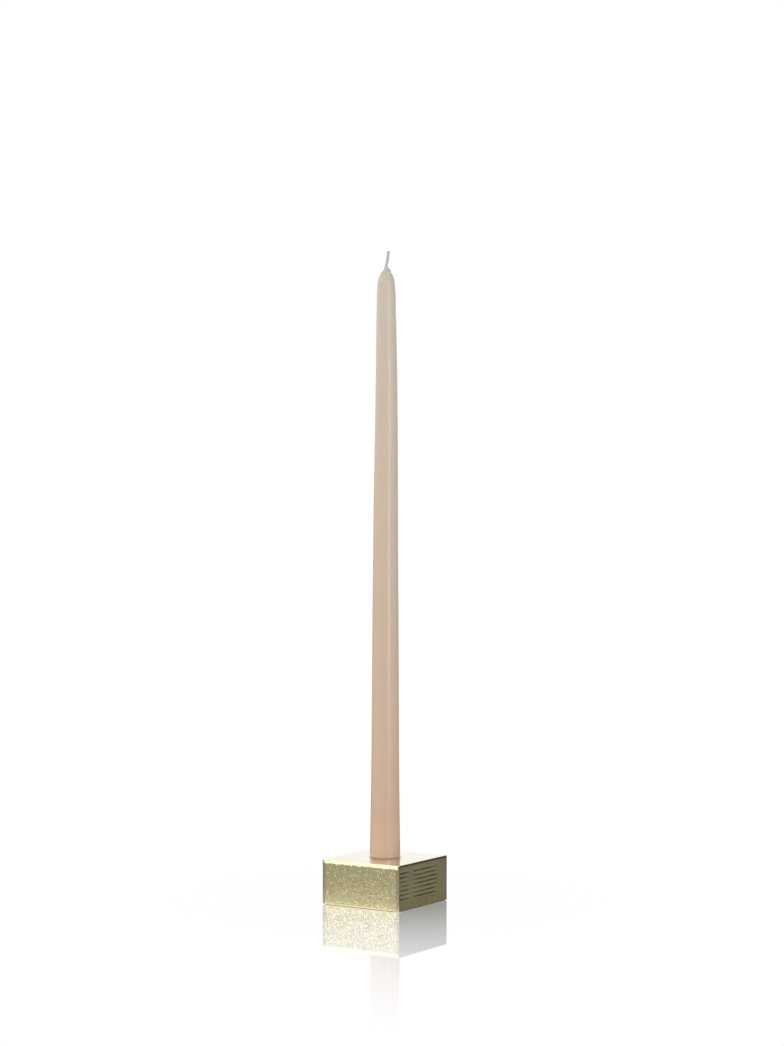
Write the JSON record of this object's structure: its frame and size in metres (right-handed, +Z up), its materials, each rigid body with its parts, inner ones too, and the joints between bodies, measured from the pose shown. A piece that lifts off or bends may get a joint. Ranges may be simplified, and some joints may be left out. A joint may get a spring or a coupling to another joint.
{
  "type": "candlestick",
  "caption": "Low square block of solid brass with a round socket in its top, holding a tall dipped taper candle that lifts straight out.",
  "frame": {"origin": "centre of the felt pad's underside, on the surface that the block stands on", "axes": "+Z up, along the candle; +X and +Y square to two neighbouring side faces of the block. The -Y face has the grained finish and the +X face the tool-marked one"},
  "size_m": [0.06, 0.06, 0.4343],
  "materials": {
    "brass": "satin",
    "felt": "matte",
    "white_wax": "satin",
    "peach_wax": "satin",
    "cotton": "matte"
  },
  "bodies": {
    "holder": {"brass_block": "brass", "felt_pad": "felt"},
    "candle": {"candle_core": "white_wax", "candle_coat": "peach_wax", "wick": "cotton"}
  },
  "joints": [
    {"name": "candle_lift", "type": "slide", "parent": "holder", "child": "candle", "axis": [0, 0, 1], "range_m": [0, 0.03]}
  ]
}
